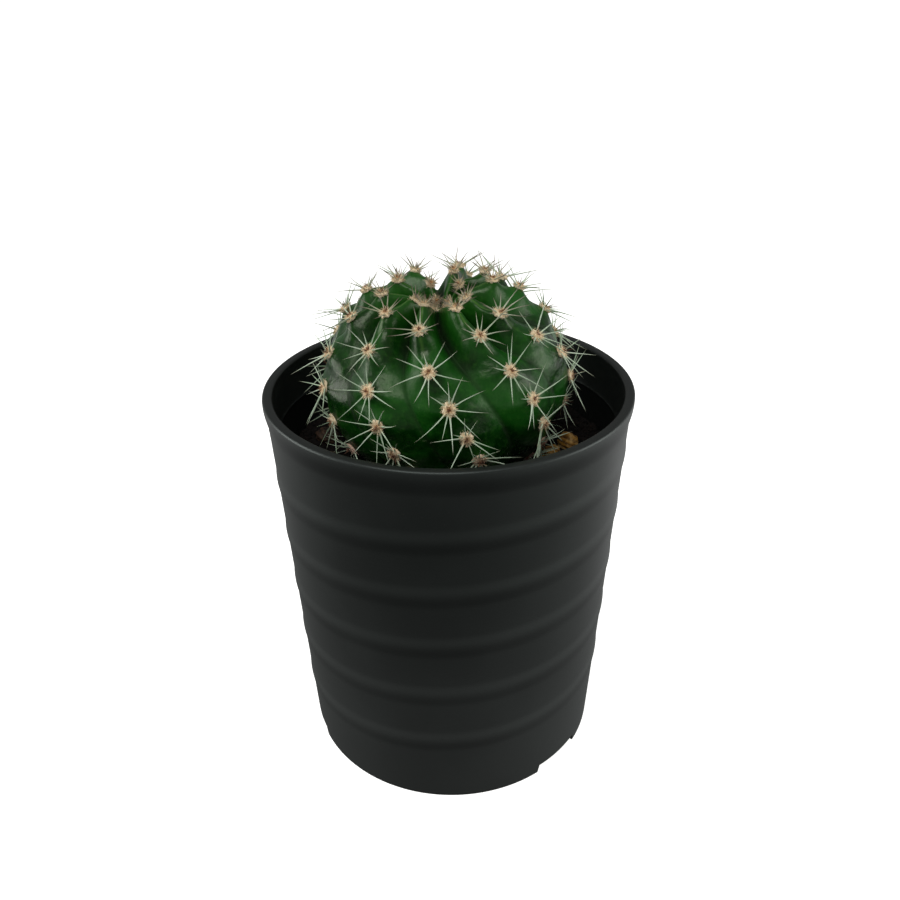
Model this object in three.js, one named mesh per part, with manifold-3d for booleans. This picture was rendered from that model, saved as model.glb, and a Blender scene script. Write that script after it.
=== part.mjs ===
// Potted round cactus, in millimetres, +Z up. The origin is the centre of the pot's foot.
// The front is -Y. An azimuth is measured from the front, and grows towards +X.
import * as THREE from "three";
import { mergeVertices } from "three/addons/utils/BufferGeometryUtils.js";
import Module from "manifold-3d";

// Pot: a tapered moulded cup with one raised bead that winds up its wall like a throwing mark.
const POT_HEIGHT = 117;
const FOOT_RADIUS = 46.05;
const WALL_SLOPE = 0.05; // growth of the outer radius per millimetre of height
const WALL_LOW = 2.4; // wall thickness below the inner ledge
const WALL_HIGH = 2.0; // wall thickness above it
const LEDGE_HEIGHT = 104.4;
const RIM_RADIUS = 52.5;
const RIM_WIDTH = 2.8;
const RIM_BAND = 4.4; // height of the thicker band under the rim
const RIM_ARC = [0, 45, 90, 135, 180]; // degrees round the rim's rounded top
const FLOOR_BOTTOM = 3.8;
const FLOOR_TOP = 6;
const FOOT_RING_WIDTH = 2.9;
const EDGE = 0.5; // small chamfers
const POT_SEGMENTS = 60;

// Bead: its crest's height is a function of the turn number, 0 at the front of the middle turn.
const BEAD_MIDDLE = 61;
const BEAD_PITCH = 17.95;
const BEAD_PITCH_LOSS = 0.2; // the turns close up a little towards the rim
const BEAD_RISE = 0.3;
const BEAD_HALF_WIDTH = 3.4;
const BEAD_START = [-2.55, -2.25]; // turns over which it fades in
const BEAD_END = [2.55, 2.9]; // turns over which it fades out
const BEAD_TURNS = [-4, -3, -2, -1, 0, 1, 2, 3]; // enough for both ends to run past the wall's

// Openings in the foot and the floor.
const NOTCH_AZIMUTHS = [46, 166, 286];
const NOTCH_HEIGHT = 3.2;
const NOTCH_HALF_WIDTH = 9.1;
const NOTCH_LEAN = 0.6; // each side leans in by this much over the notch's height
const DRAIN_CENTRE_RADIUS = 7;
const DRAIN_RADIUS = 3.5;
const DRAIN_RING = 27;
const DRAIN_COUNT = 6;
const DRAIN_SEGMENTS = 20;

// Soil: fills the pot to below the ledge, with an uneven top and a bowl that the cactus stands in.
const SOIL_TOP = 94.6;
const SOIL_RELIEF = 0.7;
const SOIL_WAVES = [0.41, 0.37, 0.83, 0.71]; // radians per millimetre of the swells of its top
const SOIL_WAVE_PHASE = 1.3;
const SOIL_SHOULDER = 2; // the even part of its wall ends this far under its top
const SOIL_RINGS = [43.6, 39.4, 35.2, 31, 27.4]; // radii between the wall and the bowl
const SOIL_SEGMENTS = 48;
const SEAT_GAP = 0.35; // clearance between pieces that rest on or in each other
const BOWL_GAP = 0.6; // the bowl's sides stand a little further off
const BOWL_POLARS = [146, 152, 159, 166, 173]; // of the bowl's rows, seen from the globe's centre
const BOWL_SHIFT = [27, 35]; // radii over which the centre passes from the globe's to the pot's

// Cactus: a flattened globe of spiralling ribs whose crown leans towards the front.
const GLOBE = new THREE.Vector3(-1, 0, 119);
const GLOBE_RADIUS = 35;
const GLOBE_HALF_HEIGHT = 30;
const RIBS = 10;
const RIB_AZIMUTH = 6; // of the first rib, where it is level with the globe's centre
const RIB_TWIST = 0.37; // degrees of azimuth per degree of polar angle
const RIB_LEVEL = 80; // the polar angle at which RIB_AZIMUTH holds
const RIB_SHIFT_CROWN = [-3.5, -1.5, -10, 8, -3, -9, -1.5, 3.5, 0.5, -2]; // of each rib, in degrees
const RIB_SHIFT_SIDE = [0, 0, 0, -4, -12, -22, -24, -12, -2, 0]; // the same further down
const RIB_SHIFT_TURN = [45, 75]; // polar angles over which the crown's shifts pass to the side's
const RIB_SHIFT_FADE = [80, 120]; // and over which these run out
const RIB_DEPTH_CROWN = 11;
const RIB_DEPTH = 2.2;
const RIB_DEPTH_FOOT = 1;
const RIB_SHARPNESS_CROWN = 2.2; // 1 for flat flanks, and more for rounder crests
const RIB_SHARPNESS = 1.35;
const CROWN_FADE = [2, 24]; // polar angles over which the furrows open at the crown
const CROWN_TO_SIDE = [30, 72]; // over which they go from the crown's form to the side's
const SIDE_TO_FOOT = [95, 135]; // and on to the foot's
const FOOT_FADE = [135, 175]; // and run out
const BOWL_DEPTH = GLOBE_HALF_HEIGHT + SEAT_GAP;
const CROWN_LEAN = 10.4; // degrees
const CROWN_LEAN_AZIMUTH = -19;
const LEAN_FADE = [60, 135]; // polar angles over which the lean runs out
const CROWN_DIP = 10;
const CROWN_DIP_ANGLE = 15;
const CLEFT = { rib: 5.63, polar: 38 }; // one furrow at the back that parts its ribs more widely
const CLEFT_DEPTH = 3.2;
const CLEFT_WIDTH = 0.32; // in ribs
const CLEFT_REACH = 24; // in degrees of polar angle
const SKIN_SEGMENTS = 60;
const SKIN_ROWS = 26;
const POLAR_STEP = 2; // degrees and ribs to each side over which the skin's slope is taken
const RIB_STEP = 0.1;

// Areoles: woolly cushions in a row down each rib's crest, each with its star of spines.
const AREOLE_POLAR = [18, 35.5, 54, 70, 86, 102, 117.5, 132];
const AREOLE_SHIFT = [1.5, 8, 2.5, 11.5, -2.5, 4.5, -3, 6, 10, -3]; // of each rib's row, in degrees
const CROWN_AREOLES = 5;
const CROWN_AREOLE_POLAR = 8;
const LOWEST_AREOLE = 3.5; // above the soil
const AREOLE_RADIUS = 2;
const AREOLE_RADIUS_CROWN = 1.2;
const AREOLE_RISE = 0.6; // dome height over radius
const AREOLE_SINK = 0.3; // how far its rim lies under the crest, over radius
const AREOLE_GROWTH = [5, 65]; // polar angles over which areoles and spines reach full size
const CHIN_RISE = 1.8; // how far a rib swells at each areole
const CHIN_LEVEL = 0.8; // the share of it that lies under the plain globe
const CHIN_BELOW = 1; // the swell's middle lies this many degrees below the areole
const CHIN_SPREAD = 5.5; // degrees
const CHIN_FADE = [50, 110]; // polar angles over which the swell falls
const CHIN_LEFT = 0.17; // to this share

// Spines: three-sided needles, in a ring at each areole.
const SPINE_SEED = 28;
const RADIAL_SPINES = 6;
const SPINE_BASE = 0.36;
const SPINE_ROOT = 0.6; // how deep a needle starts under the rib's crest
const SPINE_RING = 0.35; // how far out it starts, over the cushion's radius
const SPINE_LENGTH = 10;
const SPINE_LENGTH_CROWN = 2.2;
const SPINE_RISE = 23; // degrees over the skin
const SPINE_RISE_CROWN = 56;
const SPINE_SWAY = 0.4; // random shares: of the angle between two spines,
const SPINE_LIFT = 0.2; // of a radian of rise,
const SPINE_VARIATION = 0.28; // and of the length
const SPINE_SHORT_ABOVE = 0.16; // a spine that points up the rib is shorter by this share
const SOIL_CLEAR = 2; // a needle's tip stays this far above the soil
const CHIP_CLEAR = 1.2; // and this far above and beside a chip

// Chips of bark on the soil: azimuth, distance from the pot's axis, size and turn.
const CHIPS = [
  { name: "bark_chip_1", azimuth: 92, distance: 35.6, size: [7.6, 7, 7.6], turn: 20 },
  { name: "bark_chip_2", azimuth: 81, distance: 30.2, size: [6.6, 7, 5.4], turn: 70 },
  { name: "bark_chip_3", azimuth: 257, distance: 38.4, size: [8.2, 7, 5.8], turn: 35 },
  { name: "bark_chip_4", azimuth: 281, distance: 36.2, size: [7.8, 6.6, 5.2], turn: 110 },
  { name: "bark_chip_5", azimuth: 168, distance: 39.4, size: [8.6, 7, 5.6], turn: 75 },
  { name: "bark_chip_6", azimuth: 215, distance: 40.4, size: [7.8, 6.8, 5], turn: 150 },
];
const CHIP_SUNK = 0.36; // the share of a chip's height that lies in the soil
const CHIP_ROUGHNESS = 0.26; // how much its corners differ from an ellipsoid's
const CHIP_SEED = 71;
const NEEDLE_CHECKS = [0.4, 0.6, 0.8, 1]; // shares of a needle at which it is kept clear of them

// Colours and roughness of the finishes.
const POT_FINISH = [0x202221, 0.5];
const SOIL_FINISH = [0x2b1d14, 1];
const CACTUS_FINISH = [0x1f5228, 0.45];
const CHIP_FINISH = [0x7a4a20, 0.9];

const rad = THREE.MathUtils.degToRad;
const { clamp, lerp, smoothstep } = THREE.MathUtils;

const wasm = await Module();
wasm.setup();

// A seeded source of random numbers from 0 to 1.
function seeded(seed) {
  let state = seed;
  return () => {
    state = (state + 0x6d2b79f5) | 0;
    let t = Math.imul(state ^ (state >>> 15), 1 | state);
    t = (t + Math.imul(t ^ (t >>> 7), 61 | t)) ^ t;
    return ((t ^ (t >>> 14)) >>> 0) / 4294967296;
  };
}

// A closed geometry as a solid: seams and poles merged, and collapsed triangles dropped.
function solid(geometry) {
  const bare = new THREE.BufferGeometry();
  bare.setAttribute("position", geometry.getAttribute("position"));
  bare.setIndex(geometry.index);
  const merged = mergeVertices(bare, 1e-3);
  const points = merged.getAttribute("position");
  const corner = [0, 1, 2].map(() => new THREE.Vector3());
  const kept = [];
  let volume = 0;
  for (let i = 0; i < merged.index.count; i += 3) {
    const face = [0, 1, 2].map((k) => merged.index.getX(i + k));
    if (new Set(face).size < 3) continue;
    face.forEach((vertex, k) => corner[k].fromBufferAttribute(points, vertex));
    volume += corner[0].dot(corner[1].clone().cross(corner[2]));
    kept.push(face);
  }
  const outward = kept.map(([a, b, c]) => (volume < 0 ? [a, c, b] : [a, b, c]));
  return new wasm.Manifold(
    new wasm.Mesh({
      numProp: 3,
      vertProperties: new Float32Array(points.array),
      triVerts: new Uint32Array(outward.flat()),
    }),
  );
}

// A solid as a named mesh.
function meshOf(name, shape, [color, roughness]) {
  const made = shape.getMesh();
  const geometry = new THREE.BufferGeometry();
  geometry.setAttribute("position", new THREE.BufferAttribute(made.vertProperties, 3));
  geometry.setIndex(new THREE.BufferAttribute(made.triVerts, 1));
  geometry.computeVertexNormals();
  const material = new THREE.MeshStandardMaterial({ color, roughness, metalness: 0 });
  const mesh = new THREE.Mesh(geometry, material);
  mesh.name = name;
  return mesh;
}

// A profile of [radius, height, tag] turned about Z. Each vertex is then moved to the radius and
// height that place(azimuth, radius, height, tag) gives.
function turned(profile, segments, place) {
  const outline = profile.map(([radius, height]) => new THREE.Vector2(radius, height));
  const geometry = new THREE.LatheGeometry(outline, segments);
  geometry.rotateX(Math.PI / 2);
  const points = geometry.getAttribute("position");
  for (let i = 0; i < points.count; i += 1) {
    const [radius, height, tag] = profile[i % profile.length];
    const azimuth = (Math.floor(i / profile.length) / segments) * 2 * Math.PI;
    const to = place(azimuth, radius, height, tag);
    points.setXYZ(i, to.radius * Math.sin(azimuth), -to.radius * Math.cos(azimuth), to.height);
  }
  return geometry;
}

const outerRadius = (height) => FOOT_RADIUS + WALL_SLOPE * height;
const innerRadius = (height) => outerRadius(height) - (height > LEDGE_HEIGHT ? WALL_HIGH : WALL_LOW);
const beadHeight = (turn) => BEAD_MIDDLE + BEAD_PITCH * turn - BEAD_PITCH_LOSS * turn * turn;
const beadFade = (turn) => smoothstep(turn, ...BEAD_START) * (1 - smoothstep(turn, ...BEAD_END));

// The pot's section, from the floor's underside round the foot, wall and rim to the floor's top.
function potProfile() {
  const footInner = FOOT_RADIUS - FOOT_RING_WIDTH;
  const bandBottom = POT_HEIGHT - RIM_BAND;
  const round = RIM_WIDTH / 2;
  const profile = [
    [0, FLOOR_BOTTOM],
    [footInner - EDGE, FLOOR_BOTTOM],
    [footInner, 0],
    [FOOT_RADIUS - EDGE, 0],
    [outerRadius(EDGE), EDGE],
  ];
  for (const turn of BEAD_TURNS)
    for (const across of [-BEAD_HALF_WIDTH, 0, BEAD_HALF_WIDTH]) profile.push([0, 0, { turn, across }]);
  profile.push([outerRadius(bandBottom), bandBottom]);
  profile.push([RIM_RADIUS - EDGE / 2, bandBottom + EDGE / 2]);
  profile.push([RIM_RADIUS, bandBottom + 2 * EDGE]);
  for (const angle of RIM_ARC)
    profile.push([
      RIM_RADIUS - round + round * Math.cos(rad(angle)),
      POT_HEIGHT - round + round * Math.sin(rad(angle)),
    ]);
  profile.push([innerRadius(LEDGE_HEIGHT + EDGE), LEDGE_HEIGHT + EDGE]);
  profile.push([innerRadius(LEDGE_HEIGHT), LEDGE_HEIGHT]);
  profile.push([innerRadius(FLOOR_TOP + EDGE), FLOOR_TOP + 2 * EDGE]);
  profile.push([innerRadius(FLOOR_TOP) - 2 * EDGE, FLOOR_TOP]);
  profile.push([0, FLOOR_TOP]);
  return profile;
}

// Where a row of the bead lies: rows past the wall's ends close up on them.
function potPoint(azimuth, radius, height, row) {
  if (!row) return { radius, height };
  const turn = row.turn + azimuth / (2 * Math.PI);
  const level = clamp(beadHeight(turn) + row.across, EDGE, POT_HEIGHT - RIM_BAND);
  const rise = row.across === 0 ? BEAD_RISE * beadFade(turn) : 0;
  return { radius: outerRadius(level) + rise, height: level };
}

function potSolid() {
  let pot = solid(turned(potProfile(), POT_SEGMENTS, potPoint));
  const notch = new THREE.Shape([
    new THREE.Vector2(-NOTCH_HALF_WIDTH, -1),
    new THREE.Vector2(NOTCH_HALF_WIDTH, -1),
    new THREE.Vector2(NOTCH_HALF_WIDTH - NOTCH_LEAN, NOTCH_HEIGHT),
    new THREE.Vector2(NOTCH_LEAN - NOTCH_HALF_WIDTH, NOTCH_HEIGHT),
  ]);
  for (const azimuth of NOTCH_AZIMUTHS) {
    const cut = new THREE.ExtrudeGeometry(notch, { depth: 4 * FOOT_RING_WIDTH, bevelEnabled: false });
    cut.rotateX(Math.PI / 2);
    cut.translate(0, 2 * FOOT_RING_WIDTH - FOOT_RADIUS, 0);
    cut.rotateZ(rad(azimuth));
    pot = pot.subtract(solid(cut));
  }
  pot = pot.subtract(drain(DRAIN_CENTRE_RADIUS, 0, 0));
  for (let i = 0; i < DRAIN_COUNT; i += 1)
    pot = pot.subtract(drain(DRAIN_RADIUS, DRAIN_RING, (i * 360) / DRAIN_COUNT));
  return pot;
}

function drain(radius, distance, azimuth) {
  const hole = new THREE.CylinderGeometry(radius, radius, 2 * FLOOR_TOP, DRAIN_SEGMENTS);
  hole.rotateX(Math.PI / 2);
  hole.translate(0, -distance, FLOOR_TOP);
  hole.rotateZ(rad(azimuth));
  return solid(hole);
}

// The bowl's radius at a height: the globe's own form, a little larger.
const bowlRadius = (height) =>
  (GLOBE_RADIUS + BOWL_GAP) * Math.sqrt(Math.max(0, 1 - ((height - GLOBE.z) / BOWL_DEPTH) ** 2));

// Low swells and hollows of the soil's top.
function soilWave(x, y) {
  const [alongX, alongY, slantX, slantY] = SOIL_WAVES;
  const crossed = Math.sin(x * alongX + SOIL_WAVE_PHASE) * Math.cos(y * alongY);
  return (SOIL_RELIEF / 2) * (crossed + Math.sin(x * slantX - y * slantY));
}

function soilSolid() {
  const wallRadius = (height) => innerRadius(height) - SEAT_GAP;
  const bottom = FLOOR_TOP + SEAT_GAP;
  const profile = [
    [0, bottom, "plain"],
    [wallRadius(bottom) - 4 * EDGE, bottom, "plain"],
    [wallRadius(bottom) - EDGE, bottom + 4 * EDGE, "plain"],
    [wallRadius(SOIL_TOP - SOIL_SHOULDER), SOIL_TOP - SOIL_SHOULDER, "plain"],
    [wallRadius(SOIL_TOP) - EDGE, SOIL_TOP, "top"],
    ...SOIL_RINGS.map((radius) => [radius, SOIL_TOP, "top"]),
    [0, SOIL_TOP, "bowl edge"],
  ];
  for (const polar of BOWL_POLARS) profile.push([0, GLOBE.z + BOWL_DEPTH * Math.cos(rad(polar)), "bowl"]);
  profile.push([0, GLOBE.z - BOWL_DEPTH, "plain"]);
  const place = (azimuth, radius, height, kind) => {
    if (kind === "plain") return { radius, height };
    if (kind === "bowl") return { radius: bowlRadius(height), height };
    const near = kind === "top" ? radius : bowlRadius(height);
    const level = height + soilWave(near * Math.sin(azimuth), near * Math.cos(azimuth));
    return { radius: kind === "top" ? radius : bowlRadius(level), height: level };
  };
  const geometry = turned(profile, SOIL_SEGMENTS, place);
  shiftBowl(geometry);
  let soil = solid(geometry);
  for (const chip of chips) soil = soil.subtract(chip.bed);
  return soil;
}

// The bowl is centred under the globe, and the soil's wall on the pot.
function shiftBowl(geometry) {
  const points = geometry.getAttribute("position");
  for (let i = 0; i < points.count; i += 1) {
    const reach = Math.hypot(points.getX(i), points.getY(i));
    const near = 1 - smoothstep(reach, ...BOWL_SHIFT);
    if (points.getZ(i) > SOIL_TOP / 2) {
      points.setX(i, points.getX(i) + GLOBE.x * near);
      points.setY(i, points.getY(i) + GLOBE.y * near);
    }
  }
}

// A chip, and the bed that it lies in: the same lump, larger by the seat gap.
function chipPair({ azimuth, distance, size, turn }, index) {
  const random = seeded(CHIP_SEED + index);
  const lump = new THREE.IcosahedronGeometry(0.5, 1);
  const bare = new THREE.BufferGeometry().setAttribute("position", lump.getAttribute("position"));
  const merged = mergeVertices(bare, 1e-3);
  const points = merged.getAttribute("position");
  for (let i = 0; i < points.count; i += 1) {
    const swell = 1 + CHIP_ROUGHNESS * (random() - 0.5);
    points.setXYZ(i, points.getX(i) * swell, points.getY(i) * swell, points.getZ(i) * swell);
  }
  const placed = (grow) => {
    const shape = merged.clone();
    shape.scale(size[0] + grow, size[1] + grow, size[2] + grow);
    shape.rotateZ(rad(turn));
    shape.translate(0, -distance, SOIL_TOP + size[2] * (0.5 - CHIP_SUNK));
    shape.rotateZ(rad(azimuth));
    return solid(shape);
  };
  return { chip: placed(0), bed: placed(3 * SEAT_GAP) };
}

// The tilt that carries a direction on the upright globe to the leaning one. It fades out towards the foot.
function lean(direction, polar) {
  const towards = rad(CROWN_LEAN_AZIMUTH);
  const axis = new THREE.Vector3(Math.cos(towards), Math.sin(towards), 0);
  const angle = rad(CROWN_LEAN) * (1 - smoothstep(polar, ...LEAN_FADE));
  return direction.applyAxisAngle(axis, angle);
}

const wrapped = (rib) => ((rib % RIBS) + RIBS) % RIBS;

// How far a rib's own course turns it from the even spiral: evenly passed on from rib to rib.
function ribShift(polar, ribs) {
  const [shift, next] = [Math.floor(ribs), Math.floor(ribs) + 1].map((rib) => {
    const place = wrapped(rib);
    return lerp(RIB_SHIFT_CROWN[place], RIB_SHIFT_SIDE[place], smoothstep(polar, ...RIB_SHIFT_TURN));
  });
  return lerp(shift, next, ribs - Math.floor(ribs)) * (1 - smoothstep(polar, ...RIB_SHIFT_FADE));
}

// A point of the skin. ribs counts ribs round from the first, so that whole numbers are crests.
function skinPoint(polar, ribs) {
  const turn = RIB_AZIMUTH + RIB_TWIST * (polar - RIB_LEVEL) + ribShift(polar, ribs);
  const azimuth = rad((ribs * 360) / RIBS + turn);
  const out = Math.sin(rad(polar));
  const direction = lean(
    new THREE.Vector3(out * Math.sin(azimuth), -out * Math.cos(azimuth), Math.cos(rad(polar))),
    polar,
  );
  const flat = Math.hypot(direction.x, direction.y);
  const reach = 1 / Math.hypot(flat / GLOBE_RADIUS, direction.z / GLOBE_HALF_HEIGHT);
  return direction.multiplyScalar(reach + relief(polar, ribs)).add(GLOBE);
}

// How far the skin stands off the plain globe: furrows, the swell at each areole, the sunken crown
// and the cleft.
function relief(polar, ribs) {
  const across = Math.abs(2 * (ribs - Math.round(ribs)));
  const ends = smoothstep(polar, ...CROWN_FADE) * (1 - smoothstep(polar, ...FOOT_FADE));
  const side = smoothstep(polar, ...CROWN_TO_SIDE);
  const upper = lerp(RIB_DEPTH_CROWN, RIB_DEPTH, side);
  const depth = ends * lerp(upper, RIB_DEPTH_FOOT, smoothstep(polar, ...SIDE_TO_FOOT));
  const furrow = depth * across ** lerp(RIB_SHARPNESS_CROWN, RIB_SHARPNESS, side);
  const chin = areolePolars(wrapped(Math.round(ribs))).reduce(
    (sum, place) => sum + Math.exp(-(((polar - place - CHIN_BELOW) / CHIN_SPREAD) ** 2)),
    -CHIN_LEVEL,
  );
  const rise = CHIN_RISE * lerp(1, CHIN_LEFT, smoothstep(polar, ...CHIN_FADE));
  const swell = rise * chin * (1 - across) * ends;
  const dip = CROWN_DIP * Math.exp(-((polar / CROWN_DIP_ANGLE) ** 2));
  const aside = (wrapped(ribs) - CLEFT.rib) / CLEFT_WIDTH;
  const cleft = Math.exp(-(aside ** 2) - ((polar - CLEFT.polar) / CLEFT_REACH) ** 2);
  return swell - furrow - dip - CLEFT_DEPTH * cleft * ends;
}

const areolePolars = (rib) => AREOLE_POLAR.map((polar) => polar + AREOLE_SHIFT[rib]);

// Places of all areoles: polar angle, rib and growth, 0 at the crown and 1 when full-grown.
function areolePlaces() {
  const places = [];
  for (let rib = 0; rib < RIBS; rib += 1)
    for (const polar of areolePolars(rib)) places.push({ polar, rib });
  for (let i = 0; i < CROWN_AREOLES; i += 1)
    places.push({ polar: CROWN_AREOLE_POLAR, rib: (i * RIBS) / CROWN_AREOLES });
  return places
    .filter(({ polar, rib }) => skinPoint(polar, rib).z > SOIL_TOP + LOWEST_AREOLE)
    .map(({ polar, rib }) => ({ polar, rib, growth: Math.sqrt(smoothstep(polar, ...AREOLE_GROWTH)) }));
}

// The skin's outward, downward and sideways directions at a place.
function skinFrame(polar, rib) {
  const point = skinPoint(polar, rib);
  const down = skinPoint(polar + POLAR_STEP, rib).sub(skinPoint(polar - POLAR_STEP, rib)).normalize();
  const side = skinPoint(polar, rib + RIB_STEP).sub(skinPoint(polar, rib - RIB_STEP)).normalize();
  const out = down.clone().cross(side).normalize();
  side.crossVectors(out, down);
  return { point, down, side, out };
}

// A low hipped dome that sinks into the rib's crest, with one facet for each radial spine.
function cushion({ point, down, side, out }, radius) {
  const profile = [
    new THREE.Vector2(0, radius * AREOLE_RISE),
    new THREE.Vector2(radius, -radius * AREOLE_SINK),
    new THREE.Vector2(0, -2 * radius * AREOLE_SINK),
  ];
  const dome = new THREE.LatheGeometry(profile, RADIAL_SPINES);
  dome.rotateX(Math.PI / 2);
  dome.applyMatrix4(new THREE.Matrix4().makeBasis(side, down.clone().negate(), out).setPosition(point));
  return solid(dome);
}

// The height that a needle has to pass over at a place.
function groundUnder(point) {
  let ground = SOIL_TOP + SOIL_CLEAR;
  for (const { azimuth, distance, size } of CHIPS) {
    const away = Math.hypot(
      point.x - distance * Math.sin(rad(azimuth)),
      point.y + distance * Math.cos(rad(azimuth)),
    );
    if (away < size[0] / 2 + CHIP_CLEAR)
      ground = Math.max(ground, SOIL_TOP + size[2] * (1 - CHIP_SUNK) + CHIP_CLEAR);
  }
  return ground;
}

// A needle from root to tip, thickest at its root. Its tip is lifted clear of what lies on its way.
function needle(root, tip) {
  const end = tip.clone();
  for (const share of NEEDLE_CHECKS)
    end.z = Math.max(end.z, groundUnder(root.clone().lerp(tip, share)));
  const along = end.clone().sub(root);
  const cone = new THREE.ConeGeometry(SPINE_BASE, along.length(), 3);
  cone.translate(0, along.length() / 2, 0);
  const turn = new THREE.Quaternion().setFromUnitVectors(new THREE.Vector3(0, 1, 0), along.normalize());
  cone.applyQuaternion(turn);
  cone.translate(root.x, root.y, root.z);
  return solid(cone);
}

// An areole: its cushion with a ring of radial spines, none of them straight along the rib.
function areole({ polar, rib, growth }, random) {
  const frame = skinFrame(polar, rib);
  const radius = lerp(AREOLE_RADIUS_CROWN, AREOLE_RADIUS, growth);
  const length = lerp(SPINE_LENGTH_CROWN, SPINE_LENGTH, growth);
  const rise = rad(lerp(SPINE_RISE_CROWN, SPINE_RISE, growth));
  let star = cushion(frame, radius);
  for (let i = 0; i < RADIAL_SPINES; i += 1) {
    const round = ((i + 0.5 + SPINE_SWAY * (random() - 0.5)) * 2 * Math.PI) / RADIAL_SPINES;
    const flat = frame.side
      .clone()
      .multiplyScalar(Math.sin(round))
      .addScaledVector(frame.down, Math.cos(round));
    const lift = rise + SPINE_LIFT * (random() - 0.5);
    const direction = flat.multiplyScalar(Math.cos(lift)).addScaledVector(frame.out, Math.sin(lift));
    const variation = 1 + SPINE_VARIATION * (random() - 0.5);
    const reach = length * variation * (1 - SPINE_SHORT_ABOVE * Math.max(0, -Math.cos(round)));
    const root = frame.point
      .clone()
      .addScaledVector(direction, radius * SPINE_RING)
      .addScaledVector(frame.out, -SPINE_ROOT);
    star = star.add(needle(root, root.clone().addScaledVector(direction, reach)));
  }
  return star;
}

function cactusSolid() {
  const profile = [];
  for (let row = 0; row <= SKIN_ROWS; row += 1) {
    const polar = (180 * row) / SKIN_ROWS;
    profile.push(new THREE.Vector2(Math.sin(rad(polar)), Math.cos(rad(polar))));
  }
  const skin = new THREE.LatheGeometry(profile, SKIN_SEGMENTS);
  const points = skin.getAttribute("position");
  for (let i = 0; i < points.count; i += 1) {
    const polar = (180 * (i % profile.length)) / SKIN_ROWS;
    const ribs = (Math.floor(i / profile.length) / SKIN_SEGMENTS) * RIBS;
    const point = skinPoint(polar, ribs);
    points.setXYZ(i, point.x, point.y, point.z);
  }
  const random = seeded(SPINE_SEED);
  let cactus = solid(skin);
  for (const place of areolePlaces()) cactus = cactus.add(areole(place, random));
  return cactus;
}

const chips = CHIPS.map(chipPair);

const part = new THREE.Group();
part.add(meshOf("pot", potSolid(), POT_FINISH));
part.add(meshOf("soil", soilSolid(), SOIL_FINISH));
part.add(meshOf("cactus", cactusSolid(), CACTUS_FINISH));
CHIPS.forEach(({ name }, index) => part.add(meshOf(name, chips[index].chip, CHIP_FINISH)));

export default part;
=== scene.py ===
# Potted round cactus: the finished surfaces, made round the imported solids.
# Lengths are in millimetres and angles in degrees until a mesh is written, which is in metres.
# The front is -Y. An azimuth is measured from the front, and grows towards +X.
import math

import bmesh
import bpy
import numpy as np
from mathutils import Matrix, Vector


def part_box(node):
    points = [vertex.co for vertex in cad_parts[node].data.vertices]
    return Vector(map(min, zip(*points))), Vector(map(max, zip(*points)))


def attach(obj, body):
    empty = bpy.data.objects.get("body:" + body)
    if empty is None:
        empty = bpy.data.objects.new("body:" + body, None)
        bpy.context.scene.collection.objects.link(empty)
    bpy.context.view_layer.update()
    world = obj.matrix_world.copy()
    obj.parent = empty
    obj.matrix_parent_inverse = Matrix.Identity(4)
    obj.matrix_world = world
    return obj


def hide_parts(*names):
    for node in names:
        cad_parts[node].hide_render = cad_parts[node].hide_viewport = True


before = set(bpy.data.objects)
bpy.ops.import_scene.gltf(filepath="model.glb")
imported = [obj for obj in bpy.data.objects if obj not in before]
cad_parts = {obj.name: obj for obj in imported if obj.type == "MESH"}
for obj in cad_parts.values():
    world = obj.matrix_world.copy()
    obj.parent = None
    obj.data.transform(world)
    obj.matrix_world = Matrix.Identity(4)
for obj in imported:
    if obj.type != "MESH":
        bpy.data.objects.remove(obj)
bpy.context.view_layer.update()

MM = 0.001

# Pot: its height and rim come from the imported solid, and the rest is as in the part's source.
POT_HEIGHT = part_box("pot")[1].z / MM
RIM_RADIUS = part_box("pot")[1].x / MM
FOOT_RADIUS = 46.05
WALL_SLOPE = 0.05 # the radius grows by this with each mm of height
WALL_LOW = 2.4 # the wall's thickness below the ledge and above it
WALL_HIGH = 2.0
LEDGE_HEIGHT = 104.4 # height of the step inside the wall
RIM_WIDTH = 2.8
RIM_BAND = 4.4 # height of the thicker band under the rim
RIM_CORNER = 0.75 # radius of the rim's two edges
BAND_BLEND = 3 # the band passes into the wall over this height above and below its edge
FLOOR_BOTTOM = 3.8
FLOOR_TOP = 6
FOOT_RING_WIDTH = 2.9
EDGE = 0.5 # radius of the other edges
POT_COLUMNS = 300
WALL_ROWS = 200
BEAD_MIDDLE = 61 # height of the winding bead's crest at the front, in its middle turn
BEAD_PITCH = 17.95 # from turn to turn in the middle, and how it changes away from there
BEAD_PITCH_LOSS = 0.2
BEAD_RISE = 0.3
BEAD_REACH = 4.2 # half the width of the soft bead
BEAD_START = (-2.55, -2.25) # it rises out of the wall between these turns, and sinks into it again
BEAD_END = (2.55, 2.9)
BEAD_TURNS = range(-4, 4)
NOTCH_AZIMUTHS = (46, 166, 286)
NOTCH_HEIGHT = 3.2
NOTCH_HALF_WIDTH = 9.1
NOTCH_LEAN = 0.6 # each side of a notch leans in by this much
DRAIN_HOLES = [(7, 0, 0)] + [(3.5, 27, 60 * i) for i in range(6)] # radius, distance, azimuth
FLOOR_FILLET = 3 # radius where the inner wall meets the floor
DRAIN_SIDES = 48
CUT_SLACK = 0.001 # points of the cut pot that lie closer are one
SHARP_ANGLE = 40 # edges of the cut pot that turn by more stay sharp

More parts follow.
